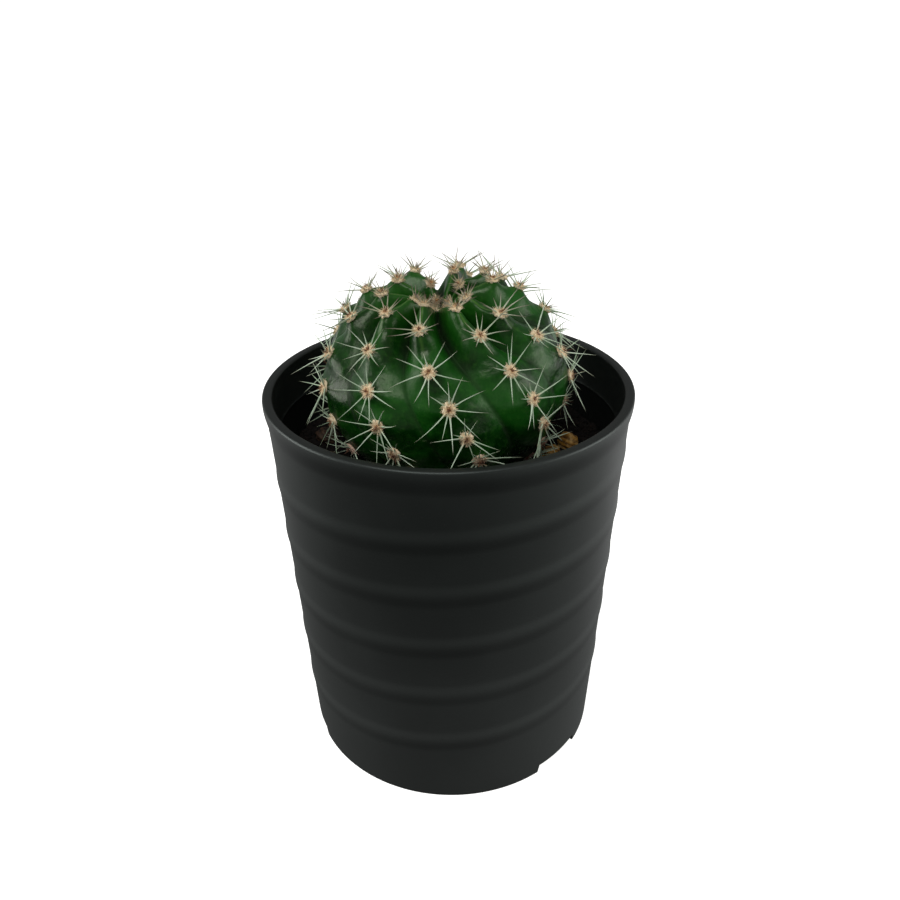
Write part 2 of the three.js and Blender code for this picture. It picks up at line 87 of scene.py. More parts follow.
# Soil and bark chips.
SOIL_TOP = 94.6
SOIL_RELIEF = 0.7 # height of the soil's waves, and their radians for each mm
SOIL_WAVES = (0.41, 0.37, 0.83, 0.71)
SOIL_WAVE_PHASE = 1.3
SOIL_CLODS = ((0.3, 6, 31), (0.22, 2.6, 32), (0.14, 1.3, 33)) # height, size and seed of each noise
SOIL_SHOULDER = 2 # the soil's side ends this far under its top
SOIL_CORNER = 0.3 # the top starts this far inside the side
SOIL_EDGE = 47 # nothing loose lies further out
SEAT_GAP = 0.35 # room between pieces that rest on each other
BOWL_GAP = 0.6 # the bowl is this much wider than the globe
BOWL_SHIFT = (27, 35) # between these radii the soil's rings pass from the globe's middle to the pot's
BOWL_POLAR = (146, 176) # the bowl's first and last row, from the globe's centre
BOWL_ROWS = 9
SOIL_COLUMNS = 260
SOIL_ROWS = 56
CRUMBS = 1500
CRUMB_RING = (23, SOIL_EDGE) # the radii between which they lie
CRUMB_SIZE = (0.45, 1.1) # radius of the smallest, and what the largest has more
CRUMB_STRETCH = ([0.8, 0.8, 0.5], [1.3, 1.3, 0.9])
CRUMB_DENTS = (0.28, 3.2, 42) # height, size and seed, here and below
FIBRES = 170
FIBRE_RING = (26, 45)
FIBRE_LENGTH = (2, 5.5)
FIBRE_WIDTH = (0.09, 0.2)
FIBRE_LIFT = 0.35
BARK_LAYER = 1.5 # thickness of a dark layer and a light one
BARK_ACROSS = [0.25, 0.2, 0.9] # the way across the layers
BARK_DENTS = ((0.22, 2.6, 1), (0.08, 1.0, 2)) # the chip's number is added to the seeds
BARK_SUNK = 0.25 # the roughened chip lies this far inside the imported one
CHIP_NAMES = [f"bark_chip_{i}" for i in range(1, 7)]
CHIP_BOXES = [np.array(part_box(name)) / MM for name in CHIP_NAMES]
AMBER_BARK = ("#5a3b14", "#a0732b", "#b8955a") # dark layers, light layers and split places
BROWN_BARK = ("#170e08", "#322012", "#47331f")

# Cactus: the globe, its ribs and its areoles, as in the part's source.
GLOBE = np.array([-1.0, 0.0, 119.0])
GLOBE_RADIUS = 35
GLOBE_HALF_HEIGHT = 30
BOWL_DEPTH = GLOBE_HALF_HEIGHT + SEAT_GAP
RIBS = 10
RIB_AZIMUTH = 6 # azimuth of the first rib's crest at the level, and its turn from there by polar angle
RIB_TWIST = 0.37
RIB_LEVEL = 80
RIB_SHIFT_CROWN = np.array([-3.5, -1.5, -10, 8, -3, -9, -1.5, 3.5, 0.5, -2]) # each rib's own shift
RIB_SHIFT_SIDE = np.array([0, 0, 0, -4, -12, -22, -24, -12, -2, 0])
RIB_SHIFT_FADES = ((45, 75), (80, 120)) # from the crown's to the side's, and to none
RIB_DEPTH_CROWN = 11 # depth of the furrows at the crown, on the side and at the foot
RIB_DEPTH = 2.2
RIB_DEPTH_FOOT = 1
RIB_SHARPNESS = (2.2, 1.35) # at the crown and on the side
CROWN_FADE = (2, 24) # polar angles that the relief changes between, here and below
CROWN_TO_SIDE = (30, 72)
SIDE_TO_FOOT = (95, 135)
FOOT_FADE = (135, 175)
CROWN_LEAN = 10.4 # the crown's tilt, and which way it leans
CROWN_LEAN_AZIMUTH = -19
LEAN_FADE = (60, 135)
CROWN_DIP = 10 # depth of the sunken crown, and its half-width
CROWN_DIP_ANGLE = 15
CLEFT_RIB = 5.63 # one furrow at the back parts the ribs more widely: where it lies, in ribs and degrees
CLEFT_POLAR = 38
CLEFT_DEPTH = 3.2
CLEFT_WIDTH = 0.32
CLEFT_REACH = 24
AREOLE_POLAR = np.array([18, 35.5, 54, 70, 86, 102, 117.5, 132]) # along a rib, with a shift for each rib
AREOLE_SHIFT = np.array([1.5, 8, 2.5, 11.5, -2.5, 4.5, -3, 6, 10, -3])
CROWN_AREOLES = 5
CROWN_AREOLE_POLAR = 8
LOWEST_AREOLE = 3.5 # over the soil
AREOLE_RADIUS = (1.2, 2.0) # at the crown and full-grown
AREOLE_RISE = 0.6 # height of a cushion for its radius
AREOLE_GROWTH = (5, 65) # polar angles between which they grow up
CHIN_RISE = 1.8 # the swell that carries an areole: its height, and the share taken off between two
CHIN_LEVEL = 0.8
CHIN_BELOW = 1 # the swell's middle lies this many degrees below the areole, and it spreads this wide
CHIN_SPREAD = 5.5
CHIN_FADE = (50, 110) # between these polar angles it shrinks to the share left
CHIN_LEFT = 0.17
SKIN_COLUMNS = 400
SKIN_ROWS_SEEN = 214 # down to the polar angle where the soil hides the skin
SKIN_ROWS_HIDDEN = 14
SKIN_SEEN = 142
SKIN_DENTS = ((0.14, 9, 51), (0.05, 4, 52), (0.012, 1.8, 53))
CUSHION_SHAPE = (0.96, 1.08) # a cushion's size across and along the rib
CUSHION_SIZE = 0.82 # as a share of the areole, where there are no dents
CUSHION_TILT = (8, 125) # its first and last row, from outwards
CUSHION_DENTS = ((0.13, 1.5, 61), (0.09, 0.6, 62))
HAIRS = 120 # at each areole
HAIR_LENGTH = (1.2, 0.9) # at the crown and full-grown
HAIR_WIDTH = (0.05, 0.095)

# Spines.
RADIALS = 10 # at each areole
RADIAL_LENGTH = (2.2, 10.4) # at the crown and full-grown
RADIAL_RISE = (56, 23) # degrees over the skin
RADIAL_WIDTH = (0.16, 0.225) # half of the thickness at the base
RADIAL_SHORT_ABOVE = 0.36 # spines that point up the rib are shorter by this share
RADIAL_SWAY = 0.34 # as a share of the step between two
RADIAL_RISE_SWAY = 0.14 # in radians
RADIAL_KEPT = 0.93 # this share of them has grown
CENTRALS = 3
CENTRAL_LENGTH = (1.8, 3.6)
CENTRAL_WIDTH = (0.13, 0.17)
CENTRAL_RISE = (48, 80)
CENTRAL_KEPT = [1, 0.75, 0.4] # how often there is a first, a second and a third
BULB_REACH = 0.09 # a swollen root fades over this share of a spine
SOIL_CLEAR = 2 # spines pass this far over the soil and the chips
CHIP_CLEAR = 1.2

# Camera, as fitted to the pot's rim, wall and foot.
FRAME_PIXELS = 900
FOCAL_PIXELS = 855 # the lens's focal length and middle in the frame, in pixels
CENTRE_PIXEL_X = 449.2
SENSOR = 36
CAMERA_DISTANCE = 224 # in front of the pot's axis
CAMERA_HEIGHT = 216.5
CAMERA_DOWN = 28.56 # tilt and roll in degrees
CAMERA_ROLL = 0.76

# Light.
FLOOR_GLOW = 1.06
TABLE_FRONT = 0.46 # radiance of the table in front, at the back and at its far edge
TABLE_BACK = 0.8
TABLE_FAR = 0.28
TABLE_NEAR = 0.12 # its share near the pot and at the right
TABLE_RIGHT = 1.9
ROOM_HORIZON = 0.3 # radiance of the room at eye level, higher up, at the back and overhead
ROOM_HIGH = 0.04
ROOM_BACK = 0.2
ROOM_TOP = 0.3
SOFTBOXES = [ # name, place, width, height and power in watts
    ("left_softbox", (-600, 20, 230), 400, 440, 1.9),
    ("right_softbox", (600, -60, 215), 420, 420, 1.8),
    ("front_softbox", (-110, -330, 690), 400, 280, 2.0),
]
FLOOR_HALF = 30000


# Shapes

def ease(value, low, high):
    """A smooth step: 0 below low, 1 above high, and 3t^2 - 2t^3 between."""
    t = np.clip((value - low) / (high - low), 0, 1)
    return t * t * (3 - 2 * t)


def mix(ends, share):
    """From the first of two values to the second."""
    return ends[0] + (ends[1] - ends[0]) * share


def unit(vectors):
    """Vectors made one long."""
    return vectors / np.linalg.norm(vectors, axis=-1, keepdims=True)


def rotate(vectors, axis, angles):
    """Vectors turned about an axis: v cos + (axis x v) sin + axis (axis . v) (1 - cos)."""
    turn = np.radians(angles)[..., None]
    along = (vectors @ axis)[..., None] * axis
    return vectors * np.cos(turn) + np.cross(axis, vectors) * np.sin(turn) + along * (1 - np.cos(turn))


def around(radius, azimuth, height):
    """Points at a radius, an azimuth in radians and a height."""
    return np.stack(np.broadcast_arrays(radius * np.sin(azimuth), -radius * np.cos(azimuth), height), -1)


def turns(count):
    """Azimuths of columns that close on themselves, in radians."""
    return np.arange(count) * 2 * math.pi / count


def waves(points, size, seed, count=20):
    """Smooth noise of about -1 to 1: sine waves some size mm long, summed over random directions."""
    random = np.random.default_rng(seed)
    heading = unit(random.normal(size=(count, 3))) * 2 * math.pi / size
    heading *= random.uniform(0.7, 1.4, (count, 1))
    phase = random.uniform(0, 2 * math.pi, count)
    return np.sin(points @ heading.T + phase).sum(-1) / math.sqrt(2 * count)


def lumps(points, *layers):
    """Smooth noise added up. Each layer is a height, a size in mm and a seed."""
    return sum(height * waves(points, size, seed) for height, size, seed in layers)


def shells(rings, poles):
    """Closed shells: rings[n, row, column] are the points of shell n, neighbours joined by quads, and
    poles[n, 0] and poles[n, 1] close its first and last row by a fan. Faces look outwards: if the
    volume that they enclose is negative, their corners are reversed."""
    count, rows, columns = rings.shape[:3]
    points = np.concatenate([rings.reshape(count, rows * columns, 3), poles], axis=1)
    here = np.arange(columns)
    after = np.roll(here, -1)
    start = np.arange(rows - 1)[:, None] * columns
    quads = np.stack([start + here, start + after, start + columns + after, start + columns + here], -1)
    pole = np.full(columns, rows * columns)
    last = (rows - 1) * columns
    fans = np.stack([
        np.stack([pole, after, here], -1),
        np.stack([pole + 1, last + here, last + after], -1),
    ])
    size = rows * columns + 2
    shift = np.arange(count)[:, None, None] * size
    blocks = [(quads.reshape(-1, 4) + shift).reshape(-1, 4), (fans.reshape(-1, 3) + shift).reshape(-1, 3)]
    points = points.reshape(-1, 3)
    triangles = np.concatenate([blocks[0][:, :3], blocks[0][:, [0, 2, 3]], blocks[1]])
    a, b, c = (points[triangles[:, k]] - points[0] for k in range(3))
    if np.einsum("ij,ij->", a, np.cross(b, c)) < 0:
        blocks = [block[:, ::-1] for block in blocks]
    return points, blocks


def spread(by_row, at_poles, columns):
    """Values by shell and row, and at the two poles, in the order of the points of shells."""
    return np.concatenate([np.repeat(by_row, columns, axis=1), at_poles], axis=1).ravel()


def piece(name, points, blocks, material, slot, **attributes):
    """A mesh object of points and blocks of faces, with a value for each point in each attribute. It
    rides on the pot and its plant, which are one body."""
    mesh = bpy.data.meshes.new(name)
    mesh.from_pydata((points * MM).tolist(), [], [face for block in blocks for face in block.tolist()])
    for label, carried in attributes.items():
        held = mesh.attributes.new(label, "FLOAT", "POINT")
        held.data.foreach_set("value", carried.astype(np.float32))
    mesh.shade_smooth()
    mesh.materials.append(material)
    made = bpy.data.objects.new(name, mesh)
    bpy.context.scene.collection.objects.link(made)
    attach(made, "root")
    return made


# Pot

def outer_radius(height):
    """The wall's outer side, a cone: the foot's radius plus slope times height."""
    return FOOT_RADIUS + WALL_SLOPE * height


def inner_radius(height):
    """The wall's inner side: the outer one less the wall, which is thinner above the ledge."""
    return outer_radius(height) - np.where(height > LEDGE_HEIGHT, WALL_HIGH, WALL_LOW)


def arc(radius, height, size, start, stop, count=5):
    """Rows of radius and height on an arc. Its angles run from outwards, 0, to upwards, 90."""
    angle = np.radians(np.linspace(start, stop, count))
    return np.stack([radius + size * np.cos(angle), height + size * np.sin(angle)], -1)


def pot_section():
    """The rows below the wall, of the wall, and above and inside it, each a radius and a height."""
    foot_inner = FOOT_RADIUS - FOOT_RING_WIDTH
    band = POT_HEIGHT - RIM_BAND
    fillet = FLOOR_TOP + FLOOR_FILLET
    below = np.concatenate([
        [[foot_inner - FLOOR_FILLET, FLOOR_BOTTOM]],
        arc(foot_inner - 2 * EDGE, FLOOR_BOTTOM - EDGE, EDGE, 90, 0),
        arc(foot_inner + EDGE, EDGE, EDGE, 180, 270),
        arc(FOOT_RADIUS - EDGE, EDGE, EDGE, 270, 360),
    ])
    height = np.linspace(2 * EDGE, POT_HEIGHT - RIM_CORNER, WALL_ROWS)[:-1]
    swell = ease(height, band - BAND_BLEND, band + BAND_BLEND)
    wall = np.stack([mix((outer_radius(height), RIM_RADIUS), swell), height], -1)
    above = np.concatenate([
        arc(RIM_RADIUS - RIM_CORNER, POT_HEIGHT - RIM_CORNER, RIM_CORNER, 0, 90, 9),
        arc(RIM_RADIUS - RIM_WIDTH + RIM_CORNER, POT_HEIGHT - RIM_CORNER, RIM_CORNER, 90, 180, 9),
        [[inner_radius(LEDGE_HEIGHT + 2 * EDGE), LEDGE_HEIGHT + 2 * EDGE]],
        arc(inner_radius(LEDGE_HEIGHT) - EDGE / 2, LEDGE_HEIGHT - EDGE / 2, EDGE, 60, 0),
        [[inner_radius(SOIL_TOP - 4), SOIL_TOP - 4]],
        [[inner_radius(fillet), fillet]],
        arc(inner_radius(FLOOR_TOP) - FLOOR_FILLET, fillet, FLOOR_FILLET, 360, 270, 7),
    ])
    return below, wall, above


def bead(height, azimuth):
    """The winding bead: at each turn t its crest lies at a height of middle + pitch t - loss t^2, and
    its section is half a cosine wave."""
    rise = 0
    for number in BEAD_TURNS:
        turn = number + azimuth / (2 * math.pi)
        crest = BEAD_MIDDLE + BEAD_PITCH * turn - BEAD_PITCH_LOSS * turn * turn
        fade = ease(turn, *BEAD_START) * (1 - ease(turn, *BEAD_END))
        off = np.clip((height - crest) / BEAD_REACH, -1, 1)
        rise = rise + BEAD_RISE * fade * (0.5 + 0.5 * np.cos(math.pi * off))
    return rise


def pot_shell():
    """The section turned about the pot's axis, with the bead on its wall, then cut for the foot's
    notches and the drain holes."""
    below, wall, above = pot_section()
    azimuth = turns(POT_COLUMNS)
    section = np.concatenate([below, wall, above])
    radius = np.repeat(section[:, :1], POT_COLUMNS, axis=1)
    on_wall = slice(len(below), len(below) + len(wall))
    radius[on_wall] += bead(wall[:, 1:], azimuth)
    rings = around(radius, azimuth, section[:, 1:])
    poles = np.array([[[0, 0, FLOOR_BOTTOM], [0, 0, FLOOR_TOP]]])
    points, blocks = shells(rings[None], poles)
    made = piece("pot_shell", points, blocks, pot_plastic(), "pot_plastic")
    cut(made, [notch(azimuth) for azimuth in NOTCH_AZIMUTHS] + [drill(*hole) for hole in DRAIN_HOLES])
    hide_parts("pot")


def notch(azimuth):
    """A bar through the foot ring whose sides lean in a little towards its top."""
    low = NOTCH_HALF_WIDTH + NOTCH_LEAN / NOTCH_HEIGHT
    high = NOTCH_HALF_WIDTH - NOTCH_LEAN
    section = np.array([[-low, -1], [low, -1], [high, NOTCH_HEIGHT], [-high, NOTCH_HEIGHT]])
    near = FOOT_RADIUS - 2 * FOOT_RING_WIDTH
    far = FOOT_RADIUS + 2 * FOOT_RING_WIDTH
    rings = np.array([[[x, -distance, z] for x, z in section] for distance in (near, far)])
    poles = rings.mean(axis=1)
    turned = [rotate(part, np.array([0, 0, 1.0]), np.float64(azimuth)) for part in (rings, poles)]
    return shells(turned[0][None], turned[1][None])


def drill(radius, distance, azimuth):
    """A cylinder through the pot's floor."""
    centre = around(distance, math.radians(azimuth), 0)
    heights = np.array([[0], [2 * FLOOR_TOP]])
    rings = around(radius, turns(DRAIN_SIDES), heights) + centre
    poles = np.stack([centre, centre + [0, 0, 2 * FLOOR_TOP]])
    return shells(rings[None], poles[None])


def cut(target, tools):
    """Takes closed shells away from a piece. Its faces are then made triangles, those without any area
    are dissolved, and its new edges are kept sharp."""
    sizes = np.cumsum([0] + [len(points) for points, blocks in tools])
    mesh = bpy.data.meshes.new("cutter")
    points = np.concatenate([points for points, blocks in tools]) * MM
    faces = [
        [corner + first for corner in face]
        for first, (_, blocks) in zip(sizes.tolist(), tools)
        for block in blocks
        for face in block.tolist()
    ]
    mesh.from_pydata(points.tolist(), [], faces)
    cutter = bpy.data.objects.new("cutter", mesh)
    bpy.context.scene.collection.objects.link(cutter)
    modifier = target.modifiers.new("cut", "BOOLEAN")
    modifier.operation = "DIFFERENCE"
    modifier.solver = "MANIFOLD"
    modifier.object = cutter
    graph = bpy.context.evaluated_depsgraph_get()
    result = bpy.data.meshes.new_from_object(target.evaluated_get(graph))
    target.modifiers.clear()
    target.data = result
    result.name = target.name
    shape = bmesh.new()
    shape.from_mesh(result)
    bmesh.ops.remove_doubles(shape, verts=shape.verts, dist=CUT_SLACK * MM)
    bmesh.ops.triangulate(shape, faces=shape.faces)
    bmesh.ops.dissolve_degenerate(shape, edges=shape.edges, dist=CUT_SLACK * MM)
    shape.to_mesh(result)
    shape.free()
    result.set_sharp_from_angle(angle=math.radians(SHARP_ANGLE))
    bpy.data.objects.remove(cutter)


# Soil and bark

def bowl_radius(height):
    """The globe's own form at a height, a little larger."""
    level = np.clip((height - GLOBE[2]) / BOWL_DEPTH, -1, 1)
    return (GLOBE_RADIUS + BOWL_GAP) * np.sqrt(1 - level ** 2)


def soil_wave(x, y):
    """Low swells and hollows: two crossed sine waves and a slanting one."""
    along_x, along_y, slant_x, slant_y = SOIL_WAVES
    crossed = np.sin(x * along_x + SOIL_WAVE_PHASE) * np.cos(y * along_y)
    return SOIL_RELIEF / 2 * (crossed + np.sin(x * slant_x - y * slant_y))


def soil_height(points):
    """The soil's top: its waves, and finer clods on them."""
    flat = points * [1, 1, 0]
    return SOIL_TOP + soil_wave(points[..., 0], -points[..., 1]) + lumps(flat, *SOIL_CLODS)


def soil_bed():
    """A filling of the pot: its wall and floor, a cloddy top, and the bowl that the cactus stands in."""
    azimuth = turns(SOIL_COLUMNS)
    bottom = FLOOR_TOP + SEAT_GAP
    shoulder = SOIL_TOP - SOIL_SHOULDER
    wall = inner_radius(SOIL_TOP) - SEAT_GAP
    below = np.array([
        [inner_radius(bottom) - FLOOR_FILLET, bottom],
        [inner_radius(bottom + FLOOR_FILLET) - SEAT_GAP, bottom + FLOOR_FILLET],
        [inner_radius(shoulder) - SEAT_GAP, shoulder],
    ])
    outside = around(below[:, :1], azimuth, below[:, 1:])
    radius = np.linspace(wall - SOIL_CORNER, bowl_radius(SOIL_TOP), SOIL_ROWS)[:, None]
    top = around(radius, azimuth, 0)
    top += GLOBE * [1, 1, 0] * (1 - ease(radius, *BOWL_SHIFT))[..., None]
    top[..., 2] = soil_height(top)
    height = GLOBE[2] + BOWL_DEPTH * np.cos(np.radians(np.linspace(*BOWL_POLAR, BOWL_ROWS)))[:, None]
    bowl = around(bowl_radius(height), azimuth, height) + GLOBE * [1, 1, 0]
    rings = np.concatenate([outside, top, bowl])
    poles = np.array([[[0, 0, bottom], [GLOBE[0], GLOBE[1], GLOBE[2] - BOWL_DEPTH]]])
    points, blocks = shells(rings[None], poles)
    tone = waves(points, 9, 34)
    made = piece("soil_bed", points, blocks, potting_soil(), "soil", tone=tone)
    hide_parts("soil")


def soil_places(random, count, inner, outer):
    """Random places on the soil between two radii, even over its area, and clear of the chips."""
    radius = np.sqrt(random.uniform(inner ** 2, outer ** 2, count))
    places = around(radius, random.uniform(0, 2 * math.pi, count), 0)
    clear = np.ones(count, bool)
    for low, high in CHIP_BOXES:
        middle = (low + high) / 2
        away = np.hypot(places[:, 0] - middle[0], places[:, 1] - middle[1])
        clear &= away > (high - low)[:2].max() / 2
    places = places[clear]
    places[:, 2] = soil_height(places)
    return places


def soil_crumbs():
    """Crumbs half sunk in the soil: small spheres, stretched and dented by noise. Their size is spread by
    a power law, so most are small."""
    random = np.random.default_rng(41)
    places = soil_places(random, CRUMBS, *CRUMB_RING)
    size = CRUMB_SIZE[0] + CRUMB_SIZE[1] * random.power(0.55, len(places))[:, None]
    stretch = size[:, None] * random.uniform(*CRUMB_STRETCH, (len(places), 3))[:, None]
    polar = np.radians([30, 62, 90, 118, 150])[:, None]
    ball = around(np.sin(polar), turns(8), np.cos(polar))
    rings = ball * stretch[:, :, None]
    rings = rings * (1 + lumps(rings * 2 + places[:, None, None] * 7, CRUMB_DENTS))[..., None]
    poles = np.array([[0, 0, 1.0], [0, 0, -1.0]]) * stretch * 0.95
    rings = rings + places[:, None, None]
    poles = poles + places[:, None]
    points, blocks = shells(rings, poles)
    tone = np.repeat(random.uniform(-1, 1, len(places)), ball.shape[0] * ball.shape[1] + 2)
    piece("soil_crumbs", points, blocks, potting_soil(), "soil", tone=tone)


def soil_fibres():
    """Loose fibres of peat and bark that lie on the soil."""
    random = np.random.default_rng(47)
    places = soil_places(random, FIBRES, *FIBRE_RING)
    count = len(places)
    heading = around(1.0, random.uniform(0, 2 * math.pi, count), random.uniform(-0.05, 0.25, count))
    length = random.uniform(*FIBRE_LENGTH, count)[:, None]
    curl = around(1.0, random.uniform(0, 2 * math.pi, count), 0) * length * 0.25
    roots = places + [0, 0, FIBRE_LIFT]
    tips = roots + unit(heading) * length
    outside = np.hypot(tips[:, 0], tips[:, 1]) > SOIL_EDGE
    tips[outside] = (roots - unit(heading) * length)[outside]
    width = random.uniform(*FIBRE_WIDTH, count)
    points, blocks, _, tone = needles(roots, tips, curl, width, random, rows=5, sides=5)
    piece("soil_fibres", points, blocks, potting_soil(), "soil", tone=0.6 + 0.8 * tone)


def bark(name, seed, shades):
    """A chip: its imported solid, smoothed by subdivision, then roughened along its normals by layers
    and by noise. The layers are waves of height, and the noise has a coarse and a fine size."""
    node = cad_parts[name]
    shape = bmesh.new()
    shape.from_mesh(node.data)
    bmesh.ops.remove_doubles(shape, verts=shape.verts, dist=1e-6)
    mesh = bpy.data.meshes.new("bark")
    shape.to_mesh(mesh)
    shape.free()
    lump = bpy.data.objects.new("lump", mesh)
    bpy.context.scene.collection.objects.link(lump)
    modifier = lump.modifiers.new("smooth", "SUBSURF")
    modifier.levels = modifier.render_levels = 3
    graph = bpy.context.evaluated_depsgraph_get()
    fine = bpy.data.meshes.new_from_object(lump.evaluated_get(graph))
    bpy.data.objects.remove(lump)
    points = values(fine.vertices, "co", 3) / MM
    normals = values(fine.vertices, "normal", 3)
    low, high = np.array(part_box(name)) / MM
    points = low + (points - points.min(0)) * (high - low) / np.ptp(points, axis=0)
    phase = 2 * math.pi * (points @ BARK_ACROSS) / BARK_LAYER
    layers = np.sin(phase + 2 * waves(points, 5, seed))
    dents = lumps(points, *((height, size, seed + more) for height, size, more in BARK_DENTS))
    points += normals * (0.12 * layers + dents - BARK_SUNK)[:, None]
    faces = [list(polygon.vertices) for polygon in fine.polygons]
    made = piece(f"bark_{seed}", points, [np.array(faces)], pine_bark(*shades), "bark", tone=layers)
    bpy.data.meshes.remove(fine)
    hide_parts(name)


def values(elements, label, width):
    """A property of a mesh's elements as rows of an array."""
    found = np.empty(len(elements) * width, np.float32)
    elements.foreach_get(label, found)
    return found.reshape(-1, width).astype(float)


# Cactus

def areole_polars():
    """The polar angle of each areole, by rib and place on the rib."""
    return AREOLE_POLAR + AREOLE_SHIFT[:, None]


def cleft(polar, ribs):
    """How deep a point lies in the one wider cleft, 0 to 1: a bell curve both ways."""
    aside = (ribs % RIBS - CLEFT_RIB) / CLEFT_WIDTH
    return np.exp(-(aside ** 2) - ((polar - CLEFT_POLAR) / CLEFT_REACH) ** 2)


def relief(polar, ribs):
    """How far the skin stands off the plain globe: a furrow between ribs that deepens as the power of
    the way across, a swell at each areole that is a bell curve along the rib, the sunken crown, and
    one wider cleft."""
    across = np.abs(2 * (ribs - np.round(ribs)))
    rib = np.round(ribs).astype(int) % RIBS
    ends = ease(polar, *CROWN_FADE) * (1 - ease(polar, *FOOT_FADE))
    upper = ease(polar, *CROWN_TO_SIDE)
    depth = mix((mix((RIB_DEPTH_CROWN, RIB_DEPTH), upper), RIB_DEPTH_FOOT), ease(polar, *SIDE_TO_FOOT))
    furrow = ends * depth * across ** mix(RIB_SHARPNESS, upper)
    off = (polar[..., None] - areole_polars()[rib] - CHIN_BELOW) / CHIN_SPREAD
    chin = np.exp(-(off ** 2)).sum(-1) - CHIN_LEVEL
    rise = CHIN_RISE * mix((1, CHIN_LEFT), ease(polar, *CHIN_FADE))
    dip = CROWN_DIP * np.exp(-((polar / CROWN_DIP_ANGLE) ** 2))
    swell = rise * chin * (1 - across) - CLEFT_DEPTH * cleft(polar, ribs)
    return swell * ends - furrow - dip


def between_ribs(by_rib, ribs):
    """A value for each rib, passed on evenly from rib to rib."""
    return np.interp(ribs % RIBS, np.arange(RIBS + 1), np.append(by_rib, by_rib[0]))


def skin_points(polar, ribs):
    """Points of the skin. Whole numbers of ribs are crests. The direction from the globe's centre is
    tilted towards the front near the crown, and its length is the flattened globe's plus the relief."""
    shifts = [between_ribs(shift, ribs) for shift in (RIB_SHIFT_CROWN, RIB_SHIFT_SIDE)]
    first, last = (ease(polar, *fade) for fade in RIB_SHIFT_FADES)
    turned = RIB_AZIMUTH + RIB_TWIST * (polar - RIB_LEVEL) + mix(shifts, first) * (1 - last)
    azimuth = np.radians(ribs * 360 / RIBS + turned)
    upright = around(np.sin(np.radians(polar)), azimuth, np.cos(np.radians(polar)))
    towards = math.radians(CROWN_LEAN_AZIMUTH)
    axis = np.array([math.cos(towards), math.sin(towards), 0])
    direction = rotate(upright, axis, CROWN_LEAN * (1 - ease(polar, *LEAN_FADE)))
    flat = np.hypot(direction[..., 0], direction[..., 1])
    reach = 1 / np.hypot(flat / GLOBE_RADIUS, direction[..., 2] / GLOBE_HALF_HEIGHT)
    return GLOBE + direction * (reach + relief(polar, ribs))[..., None]


def skin():
    """The whole skin as one shell, with small dents and swells. Its attributes tell how deep in a furrow
    a point lies, how near a crest, and the way down from the crown, each 0 to 1. Furrows are wide at
    the crown and mere creases further down, and the wide cleft counts as one. Only the young crests
    near the crown are marked. The skin's material lays painted shade by the furrow share and a painted
    highlight by the crest share."""
    seen = np.linspace(0, SKIN_SEEN, SKIN_ROWS_SEEN + 1)[1:]
    hidden = np.linspace(SKIN_SEEN, 180, SKIN_ROWS_HIDDEN + 2)[1:-1]
    polar, ribs = np.meshgrid(np.concatenate([seen, hidden]), turns(SKIN_COLUMNS) * RIBS / 2 / math.pi,
                              indexing="ij")
    rings = skin_points(polar, ribs)
    outward = unit(rings - GLOBE)
    rings = rings + outward * (lumps(rings, *SKIN_DENTS) * ease(polar, 2, 20))[..., None]
    poles = np.stack([skin_points(np.float64(end), np.float64(0)) for end in (0, 180)])
    points, blocks = shells(rings[None], poles[None])
    across = np.abs(2 * (ribs - np.round(ribs)))
    side = ease(polar, 40, 75)
    furrow = mix((ease(across, 0.6, 1), 0.6 * ease(across, 0.88, 1)), side)
    furrow = np.maximum(furrow, ease(cleft(polar, ribs), 0.15, 0.6))
    crest = (1 - ease(across, 0, 0.1)) * (1 - ease(polar, 25, 60))
    furrow, crest, down = (
        np.concatenate([share.ravel(), ends])
        for share, ends in ((furrow, [0, 0]), (crest, [0, 0]), (polar / 180, [0, 1]))
    )
    made = piece("skin", points, blocks, waxy_skin(), "cactus_skin", furrow=furrow, crest=crest, down=down)
    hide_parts("cactus")


def areoles():
    """The frame of each areole: its place, the directions down the rib, sideways and outwards, and its
    growth, 0 at the crown and 1 when full-grown, and the way down from the crown, 0 to 1."""
    rows = areole_polars().ravel()
    crown = np.full(CROWN_AREOLES, float(CROWN_AREOLE_POLAR))
    polar = np.concatenate([rows, crown])
    rib = np.concatenate([
        np.repeat(np.arange(RIBS), len(AREOLE_POLAR)),
        np.arange(CROWN_AREOLES) * RIBS / CROWN_AREOLES,
    ])
    growth = np.sqrt(ease(polar, *AREOLE_GROWTH))
    place = skin_points(polar, rib)
    above = place[:, 2] > SOIL_TOP + LOWEST_AREOLE
    polar, rib, growth, place = polar[above], rib[above], growth[above], place[above]
    down = unit(skin_points(polar + 2, rib) - skin_points(polar - 2, rib))
    side = unit(skin_points(polar, rib + 0.1) - skin_points(polar, rib - 0.1))
    out = unit(np.cross(down, side))
    side = np.cross(out, down)
    return {"place": place, "down": down, "side": side, "out": out, "growth": growth, "polar": polar}


